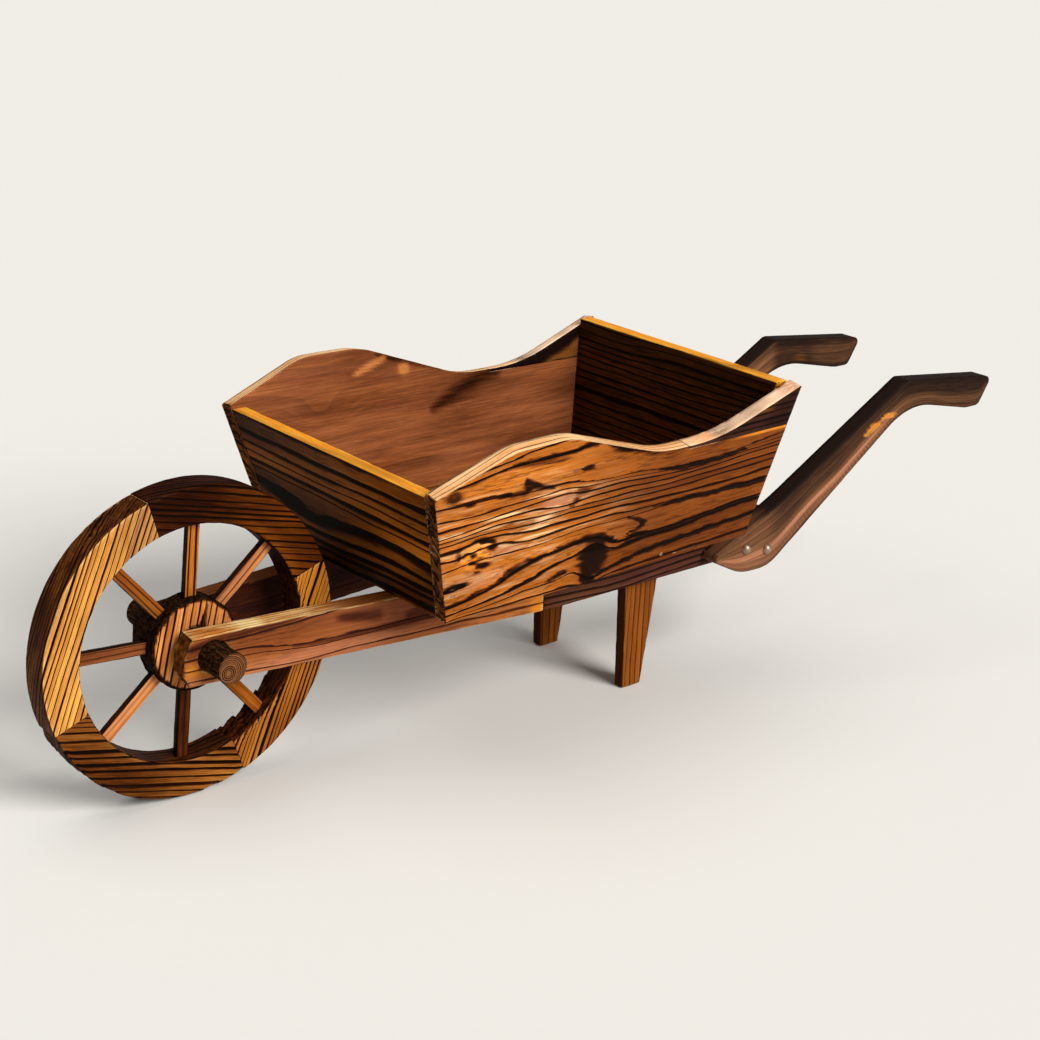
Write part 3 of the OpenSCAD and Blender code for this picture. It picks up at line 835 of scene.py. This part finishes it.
# Dark strokes along these rings, as (along, up, half width)
SIDE_STROKES = (
    ((58, 34, 2), (66, 35.5, 4.5), (80, 38, 3.5), (105, 41.5, 1)),
    ((112, 43, 0.8), (130, 45.5, 2.2), (150, 46, 3.6), (165, 43, 3.4), (178, 37, 2), (186, 34, 1)),
    ((60, 118, 2.2), (66, 114, 4), (78, 110, 2.8), (100, 106.5, 0.8)),
    ((43, 137.3, 0.9), (60, 137.6, 1.5), (100, 137, 1.6), (118, 137.3, 2.2), (128, 139, 3),
     (138, 140, 2.6), (154, 134, 0.8)),
    ((32, 110, 0.8), (50, 109, 2.2), (66, 109, 3)),
    ((225, 59, 0.8), (250, 58.5, 2.2), (300, 57.5, 2.6), (368, 56, 2.8)),
    ((186, 28, 1), (215, 31.5, 2), (260, 32.5, 2), (300, 36, 2.2), (366, 38.5, 2.6)),
    ((172, 5, 2), (185, 9, 2.4), (220, 14.5, 2.6), (260, 17.5, 2.4), (366, 22, 2)),
    ((225, 96, 1), (260, 91.5, 2.4), (300, 92.5, 2.2), (330, 95, 1.2)),
    ((-2, 16.5, 1.5), (20, 19, 2), (50, 25.5, 2), (60, 31, 1.6)),
    ((108, 13, 0.8), (120, 16, 3), (127, 18, 2.4)),
    ((196, 38.5, 0.8), (208, 41, 1.6), (215, 44.5, 2.4), (208, 49.5, 1.8), (192, 54.5, 1)),
    ((150, 8, 4), (160, -2, 6)),
)
# Knots and scorched spots of the same board: along, up, half length, half height, softness, strength
SIDE_KNOTS = (
    (159, 23, 15, 18, 0.4, 1.0), (134, 116.7, 7.5, 2.6, 0.3, 0.9), (5, 110, 6, 1.6, 0.4, 0.7),
    (124, 86, 4, 4, 0.6, 0.6), (131, 95, 7, 4, 0.6, 0.4), (38, 63, 4, 9, 0.5, 0.8), (1, 65, 3, 6, 0.5, 0.6),
    (22, 46, 12, 2.5, 0.5, 0.8), (24, 73, 12, 2, 0.5, 0.7), (-14, 120.5, 9, 6, 0.6, 0.4),
)
# Rings of a knot on the same board: along, up, radius, spacing
SIDE_EYES = ((-14, 120.5, 6, 1.7),)
# How the rings of each side board run
SIDE_GROWTH = {
    "side_left": {"wander": 0.1, "cell": 0.003, "fine": 0.0016,
                  "drawn": drawn_rings(SIDE_LINES, SIDE_BULGES, SIDE_EYES, 0.9)},
    "side_right": {"pith": (-0.06, 0.05), "pitch": 0.0075, "wander": 0.9, "sway": 0.003,
                   "knots": ((0.06, 0.1, 3.5, 0.03, 0.016), (0.23, 0.07, 2.5, 0.05, 0.02))},
}


def mark_near_side(p, inside, outside):
    # Painted shade on the inner face, inside the tray
    p.dark += inside * 0.42
    p.faint += inside * 0.45
    torn = 1 + 0.45 * noise(p.uvw, 8, (90, 420, 100))
    smear = p.uvw.copy()
    smear[:, 0] += 0.004 * noise(p.uvw, 21, (50, 300, 60))
    smear[:, 1] += 0.0012 * noise(p.uvw, 23, (160, 90, 60))
    for mark in SIDE_STROKES:
        p.dark += stroke(smear, mark, 0.5) * 0.75 * outside * torn
    for u, v, long, wide, soft, strength in SIDE_KNOTS:
        p.dark += outside * strength * blob(smear, u, v, long, wide, soft) * torn
    p.pink += outside * (0.75 * blob(p.uvw, 106, 91, 20, 8) + 0.5 * blob(p.uvw, 55, 57, 16, 5)
                         + 0.4 * blob(p.uvw, 25, 36, 30, 8))
    # Painted highlights: pale glints along the crests on the left half
    shine = noise(p.uvw, 11, (22, 330, 60))
    p.wear += outside * ((0.32 + 0.8 * shine) * blob(p.uvw, 40, 84, 110, 26)
                         + (0.18 + 0.7 * shine) * blob(p.uvw, 60, 60, 140, 60))
    p.wear += outside * 2.2 * np.maximum(0, shine - 0.35) * blob(p.uvw, 40, 80, 90, 30)
    shred = blob(smear, 22, 59, 19, 15, 0.35) * outside
    p.dark += shred * 1.7 * (0.15 + noise(p.uvw, 3, (110, 270, 100)))
    p.gold += shred * 1.3 * (0.6 + noise(p.uvw, 9, (130, 300, 100)))
    p.sink += shred * 0.002 * grit(p.uvw, 6, (180, 520, 100))
    height = outline(p.node, p.x)[0] - p.z
    seam = (1 - ease(height, 0.004, 0.006)) * ease(p.u, 0.3, 0.345) * outside
    p.gold += seam * 0.8
    p.dark *= 1 - seam


def mark_far_side(p, inside):
    # Painted shade on the inner face inside the tray, with uneven darker streaks
    p.dark += inside * (0.33 + 0.12 * noise(p.uvw, 7, (14, 50, 20)) + 0.1 * noise(p.uvw, 17, (18, 260, 20)))
    p.faint += inside
    p.pink += inside * 0.45
    p.dark += inside * (0.4 * stroke(p.uvw, ((185, 84, 3), (212, 95, 6), (240, 105, 7), (262, 108, 5)), 1.2)
                        + 0.35 * stroke(p.uvw, ((128, 143, 2), (160, 134, 3), (200, 122, 2))))
    p.wear *= 1 - ease(p.u, 0.27, 0.3)
    spots = stroke(p.uvw, ((101, 129, 2.5), (118, 135, 4), (133, 140, 3)), 0.5)
    spots = spots + blob(p.uvw, 155, 127, 7, 6, 0.4)
    p.gold += inside * 0.75 * spots
    p.dark *= 1 - 0.75 * inside * np.clip(spots, 0, 1)


def mark_side(p):
    front = facing(-p.nx)
    inside = ease(p.ny if p.near else -p.ny, 0.5, 0.9)
    outside = 1 - inside
    p.burn += front * (0.85 + 0.5 * noise(p.co, p.seed, 260))
    p.dark += outside * (0.03 + 0.3 * ease(p.u, 0.09, 0.24) + 0.06 * ease(-p.v, -0.05, 0.0))
    p.faint += outside * 0.12 * ease(p.u, 0.15, 0.25)
    if p.near:
        mark_near_side(p, inside, outside)
    else:
        mark_far_side(p, inside)
    # Painted highlight along the top edges: rubbed pale and golden, with fainter lines
    top = ease(p.nz, 0.75, 0.92) * (1 - ease(p.u, 0.285, 0.3))
    sweep = stack(p.u * 14, p.w * 90, 0)
    p.side += top
    p.ring_side += p.w / 0.0045 + 0.8 * noise(sweep, p.seed)
    p.faint += top * 0.35
    p.gold += top * 0.3
    p.wear += top * (1.6 + 0.5 * noise(sweep, p.seed + 1, 1.7))
    p.dark *= 1 - top * 0.9
    p.sink += front * 0.0022 * grit(p.co, p.seed, (200, 240, 90))


class BARROW_OT_sides(bpy.types.Operator):
    """Two side boards with a crest and a hollow"""
    bl_idname = "barrow.sides"
    bl_label = "Side boards"

    def execute(self, context):
        for node, seed, way in (("side_left", 4, -1), ("side_right", 12, 1)):
            corner = Vector((SIDE_CORNER[0], SIDE_CORNER[1] * way, SIDE_CORNER[2]))
            plank(context, node, "side_wood", seed, mark_side, along=X, origin=corner, **SIDE_GROWTH[node])
        return {"FINISHED"}


def mark_horn(p):
    top = ease(p.nz, 0.6, 0.85)
    back = facing(p.nx)
    far = (p.x - p.low[0]) / (p.high[0] - p.low[0])
    tip = 1 - ease(far, 0.2, 0.3)
    # Painted glare on the top: pale, cream at the tip and pink towards the rear, with fainter lines
    p.wear += top * (1.75 - 0.35 * tip + 0.34 * noise(p.co, p.seed, (75, 60, 75)))
    p.wear -= top * (0.7 * np.exp(-((far - 0.32) / 0.07) ** 2) + 0.6 * ease(far, 0.8, 1.0))
    p.gold += top * tip * 0.9
    p.pink += top * ease(far, 0.6, 0.85)
    p.faint += top
    p.dark += (1 - top) * (0.38 + 0.2 * noise(p.co, p.seed + 1, 25)) + back * 0.3
    if not p.near:
        inside = ease(-p.ny, 0.5, 0.9)
        depth = outline(p.node, p.x)[0] - p.z + 0.003 * noise(p.co, 3, 60)
        rim = 1 - ease(depth, 0.007, 0.016)
        p.dark += inside * (0.6 * rim - 0.38 * (1 - rim))
        p.faint += inside
        p.gold += inside * (1 - rim) * 0.2
    p.gold += (1 - top) * blob(p.uvw, 28, 6, 9, 5) * 0.6
    p.sink += back * 0.001 * grit(p.co, p.seed, 240)


class BARROW_OT_horns(bpy.types.Operator):
    """Two horns on the sides, darker than the boards"""
    bl_idname = "barrow.horns"
    bl_label = "Horns"

    def execute(self, context):
        return pair(context, "horn", (6, 14), mark_horn, along=X, wear=0.4, pith=(-0.1, 0.03), pitch=0.006)


def mark_end_board(p):
    way = 1 if p.node == "front_board" else -1
    top = ease(p.nz, 0.7, 0.95)
    # Painted highlight on the top edge
    p.gold += top
    p.wear += top * 0.5
    p.faint += top * 0.8
    # Painted shade on the face inside the tray
    p.dark += facing(way * p.nx) * 0.62
    outside = facing(-way * p.nx)
    # Partly painted shade, darkest towards the bottom, with uneven dark stain
    p.dark += outside * (0.2 + 0.2 * (1 - ease(p.v, -0.06, 0.03)) + 0.16 * ease(p.y, -0.09, 0.02)
                         + 0.3 * noise(p.uvw, 2, (7, 40, 0)))
    p.thick += outside * 0.5


class BARROW_OT_end_boards(bpy.types.Operator):
    """The tray's front and rear board"""
    bl_idname = "barrow.end_boards"
    bl_label = "End boards"

    def execute(self, context):
        for node, seed, pitch in (("front_board", 8, 0.011), ("rear_board", 16, 0.007)):
            plank(context, node, "end_board_wood", seed, mark_end_board, along=Y, pith=(-0.2, 0.05),
                  pitch=pitch)
        return {"FINISHED"}


class BARROW_OT_floor(bpy.types.Operator):
    """Two floor boards"""
    bl_idname = "barrow.floor"
    bl_label = "Floor boards"

    def execute(self, context):
        return pair(context, "floor", (10, 18), along=X, pith=(-0.1, 0.08), pitch=0.006)


# Finish, turn of the grain in the wheel's plane, ring spacing and seed of each quarter
QUARTERS = {
    "felloe_upper": ("rim_dark_wood", -14, 0.0037, 21),
    "felloe_front": ("rim_wood", 69, 0.0032, 22),
    "felloe_lower": ("rim_wood", -15, 0.0039, 23),
    "felloe_rear": ("rim_wood", 69, 0.0029, 24),
}


def mark_quarter(p):
    arm_x, arm_z = p.x - AXLE.x, p.z - AXLE.z
    reach = p.reach(AXLE)
    angle = np.degrees(np.arctan2(arm_z, arm_x)) % 360
    out = stack(arm_x, 0, arm_z) / reach[:, None]
    outward = (p.normal * out).sum(axis=1)
    tread, inner = ease(outward, 0.6, 0.8), ease(-outward, 0.6, 0.8)
    face = (1 - tread) * (1 - inner)
    sweep = stack(angle * 0.05, p.y * 60, reach * 10)
    cloud = noise(stack(p.u * 12, p.v * 45, 0), p.seed + 4)
    p.side += inner
    p.ring_side += p.y / 0.0056 + 0.8 * noise(sweep, p.seed)
    p.dark += tread * (0.6 + 0.12 * noise(sweep, p.seed + 3, 2.3)) + inner * 0.72
    # Painted shade on the lower front part of the tread
    p.dark += tread * 0.2 * ease(angle, 190, 225)

    # The rear quarter's inner edge is torn and the lower one's outer edge chipped, each ring by its own depth
    index = np.floor(p.ring)
    tooth = np.mod(p.ring, 1.0)
    dice = lattice(stack(index, index * 3, index * 7).astype(np.int64), p.seed)
    if p.node == "felloe_upper":
        warm = ease(arm_x, -0.01, 0.06)
        p.dark += face * (0.66 - 0.27 * warm + 0.27 * cloud)
        p.gold += face * warm * (0.2 + 0.5 * (1 - ease(reach, 0.103, 0.116)) + 0.4 * cloud)
    elif p.node == "felloe_lower":
        p.dark += face * (0.56 - 0.2 * ease(arm_x, -0.08, 0.03) + 0.18 * cloud)
        p.gold += face * (0.05 + 0.2 * ease(arm_x, -0.05, 0.05))
        p.thick += 0.6
        p.shift = -out * (0.0022 * dice * (0.4 + 0.6 * tooth) * ease(reach, 0.129, 0.1349))[:, None]
    elif p.node == "felloe_rear":
        low_end = 1 - ease(arm_z, -0.09, 0.01)
        p.dark += face * (0.34 * low_end + 0.12 * cloud)
        # Painted light: the upper end is brightened golden where the tray's shadow falls, the lower end keeps darker,
        # thicker lines
        p.gold += 0.75 - 0.35 * low_end
        p.thick += 0.5 * low_end - 0.25
        depth = (0.0014 + 0.0056 * dice) * (0.35 + 0.65 * tooth) * (1 - ease(reach, 0.1021, 0.112))
        p.shift = out * depth[:, None] - p.normal * (inner * 0.0012 * noise(p.co, 8, 190))[:, None]
    else:
        p.dark += face * np.maximum(0, 0.05 + 0.16 * cloud)
        p.wear += face * np.maximum(0, 0.9 * cloud)
        patch = tread * (1 - ease(angle, 126, 134))
        p.ring_side += angle * 0.55 * (1 - ease(angle, 122, 138))
        p.wear += patch * (0.5 + 0.9 * noise(stack(angle * 0.4, p.y * 90, reach), 5))
        p.sink += patch * 0.002 * grit(stack(angle * 0.9, p.y * 250, reach), 6)


class BARROW_OT_rim(bpy.types.Operator):
    """The four quarters of the wheel's rim"""
    bl_idname = "barrow.rim"
    bl_label = "Rim"

    def execute(self, context):
        fine = 0.0022 * coarseness()
        for node, (slot, turn, pitch, seed) in QUARTERS.items():
            disc(context, node, slot, seed, turn, (fine, fine, 0.0028), mark_quarter, pith=(-0.3, 0.365),
                 pitch=pitch, wander=0.3)
        return {"FINISHED"}


# How golden, pink, dark and plain each spoke's face is
SPOKE_SHADES = (
    (0.2, 0.2, 0.2, 0.3), (0.0, 0.4, 0.0, 0.45), (0.75, 0.0, 0.2, 0.0), (0.4, 0.0, 0.34, 0.4),
    (0.1, 0.3, 0.34, 0.5), (0.1, 0.45, 0.0, 0.8), (0.2, 0.0, 0.68, 0.6), (0.8, 0.0, 0.34, 0.8),
)


def mark_spoke(p):
    gold, pink, dark, faint = SPOKE_SHADES[int(p.node[-1]) - 1]
    p.gold += gold
    p.pink += pink
    p.dark += dark + ease(-np.abs(p.ny), -0.7, -0.3) * 0.8
    p.faint += faint


class BARROW_OT_spokes(bpy.types.Operator):
    """Eight spokes"""
    bl_idname = "barrow.spokes"
    bl_label = "Spokes"

    def execute(self, context):
        for i in range(1, len(SPOKE_SHADES) + 1):
            angle = math.radians(45 * (i - 1) - 4)
            along = Vector((math.cos(angle), 0, math.sin(angle)))
            plank(context, f"spoke_{i}", "spoke_wood", 30 + i, mark_spoke, along=along, fine=0.002,
                  pith=(-0.03, 0.02), pitch=0.0045, wander=0.4)
        return {"FINISHED"}


def mark_hub(p):
    reach = p.reach(middle_of("hub"))
    bark = ease(reach + 0.001 * noise(p.co, 4, 200), 0.0364, 0.038)
    p.burn += bark
    p.dark += bark
    p.sink += ease(reach, 0.037, 0.0395) * 0.0026 * grit(p.co, 5, 230)


class BARROW_OT_hub(bpy.types.Operator):
    """The hub, a slice of a log"""
    bl_idname = "barrow.hub"
    bl_label = "Hub"

    def execute(self, context):
        fine = 0.002 * coarseness()
        disc(context, "hub", "hub_wood", 41, 78, (fine, fine, 0.003), mark_hub, edge=0.0006, erode=0.0003,
             pith=(-0.12, 0.2), pitch=0.0032, wander=0.3)
        return {"FINISHED"}


def mark_axle(p):
    bark = ease(p.reach(AXLE), 0.0122, 0.0132)
    p.burn += bark
    p.sink += bark * 0.0006 * grit(p.co, 5, 300)


class BARROW_OT_axle(bpy.types.Operator):
    """The axle, a branch with its bark on"""
    bl_idname = "barrow.axle"
    bl_label = "Axle"

    def execute(self, context):
        dress(context, solid("axle"), "axle", "axle_wood", (Y, Z, X), ((Y, 0.004), (X, 0.002), (Z, 0.002)),
              mark_axle, edge=0.0008, erode=0.0002, seed=43, pith=(-0.003, -0.004), pitch=0.0016, wander=0.2)
        return {"FINISHED"}


class BARROW_OT_fixings(bpy.types.Operator):
    """Bolts, nuts and nails"""
    bl_idname = "barrow.fixings"
    bl_label = "Fixings"

    def execute(self, context):
        for node, slot in (("handle_bolts", "bolt_steel"), ("handle_nuts", "bolt_steel"),
                           ("tray_nails", "nail_steel"), ("rim_nails", "nail_steel")):
            bm = bmesh.new()
            bm.from_mesh(NODES[node].data)
            bmesh.ops.remove_doubles(bm, verts=bm.verts[:], dist=1e-6)
            bmesh.ops.recalc_face_normals(bm, faces=bm.faces[:])
            show(context, bm, node + "_steel", node, slot, 35)
        return {"FINISHED"}


# Where the camera stands, and its sensor's width in millimetres
EYE, SENSOR = (-1.1663, -1.3024, 0.7954), 36.0
# Lamps: direction, width of the sun in degrees, share of the main light, colour
LAMPS = {
    "key_light": ((0.15, -0.8, 0.55), 32.0, 1.0, (1.0, 0.96, 0.88)),
    "top_light": ((-0.2, 0.2, 1.0), 50.0, 0.25, (1.0, 0.97, 0.9)),
}
# What the camera sees behind everything
BACKDROP = 0.62


def stand(scene, name, data):
    """Puts a sheet, lamp or camera into the scene."""
    thing = bpy.data.objects.new(name, data)
    scene.collection.objects.link(thing)
    return thing


class BARROW_OT_stage(bpy.types.Operator):
    """Camera, lights and floor"""
    bl_idname = "barrow.stage"
    bl_label = "Stage"

    def execute(self, context):
        scene = context.scene
        look = scene.barrow_stage
        mesh = bpy.data.meshes.new("floor_sheet")
        bm = bmesh.new()
        bmesh.ops.create_grid(bm, x_segments=1, y_segments=1, size=12.0)
        bm.to_mesh(mesh)
        bm.free()
        floor = stand(scene, "floor_sheet", mesh)
        floor.location = (0, 0, -0.0005)
        paper, shader, g = new_material("paper")
        g.fill(shader, {"Base Color": tone(225, 225, 225), "Roughness": 0.9, "Specular IOR Level": 0.0})
        mesh.materials.append(paper)

        a, e, r = look.turn, look.tilt, look.roll
        back = Vector((math.sin(a) * math.cos(e), -math.cos(a) * math.cos(e), math.sin(e)))
        right = (-back).cross(Z).normalized()
        up = right.cross(-back)
        side = right * math.cos(r) + up * math.sin(r)
        top = up * math.cos(r) - right * math.sin(r)
        camera = bpy.data.cameras.new("camera")
        camera.lens = look.lens
        camera.sensor_width = SENSOR
        camera.clip_start, camera.clip_end = 0.05, 60.0
        eye = stand(scene, "camera", camera)
        eye.matrix_world = Matrix((side, top, back)).transposed().to_4x4()
        eye.location = EYE
        scene.camera = eye

        for name, (toward, wide, share, colour) in LAMPS.items():
            lamp = bpy.data.lights.new(name, "SUN")
            lamp.energy = look.key * share
            lamp.angle = math.radians(wide)
            lamp.color = colour
            lit = stand(scene, name, lamp)
            lit.location = Vector(toward) * 2
            lit.rotation_euler = Vector(toward).to_track_quat("Z", "Y").to_euler()

        world = bpy.data.worlds.new("room")
        world.use_nodes = True
        scene.world = world
        g = Graph(world.node_tree)
        seen = g.add("ShaderNodeLightPath").outputs["Is Camera Ray"]
        g.fill(world.node_tree.nodes["Background"], {
            "Color": (1.0, 0.985, 0.96, 1), "Strength": g.mad(seen, BACKDROP - look.fill, look.fill)})
        scene.view_settings.view_transform = "Standard"
        return {"FINISHED"}


PIECES = (BARROW_OT_rails, BARROW_OT_beams, BARROW_OT_handles, BARROW_OT_legs, BARROW_OT_sides,
          BARROW_OT_horns, BARROW_OT_end_boards, BARROW_OT_floor, BARROW_OT_rim, BARROW_OT_spokes,
          BARROW_OT_hub, BARROW_OT_axle, BARROW_OT_fixings, BARROW_OT_stage)


class BARROW_PT_panel(bpy.types.Panel):
    """Buttons and settings of the wheelbarrow"""
    bl_idname = "BARROW_PT_panel"
    bl_label = "Wheelbarrow"
    bl_space_type = "VIEW_3D"
    bl_region_type = "UI"
    bl_category = "Wheelbarrow"

    def draw(self, context):
        for kind in PIECES:
            self.layout.operator(kind.bl_idname)
        for group in (context.scene.barrow_cut, context.scene.barrow_stage):
            for key in group.__annotations__:
                self.layout.prop(group, key)


CLASSES = (BARROW_PG_cut, BARROW_PG_stage) + PIECES + (BARROW_PT_panel,)


def register():
    for kind in CLASSES:
        bpy.utils.register_class(kind)
    bpy.types.Scene.barrow_cut = bpy.props.PointerProperty(type=BARROW_PG_cut)
    bpy.types.Scene.barrow_stage = bpy.props.PointerProperty(type=BARROW_PG_stage)


def unregister():
    del bpy.types.Scene.barrow_stage
    del bpy.types.Scene.barrow_cut
    for kind in reversed(CLASSES):
        bpy.utils.unregister_class(kind)


def main():
    register()
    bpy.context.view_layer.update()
    for kind in PIECES:
        group, name = kind.bl_idname.split(".")
        getattr(getattr(bpy.ops, group), name)()


if __name__ == "__main__":
    main()
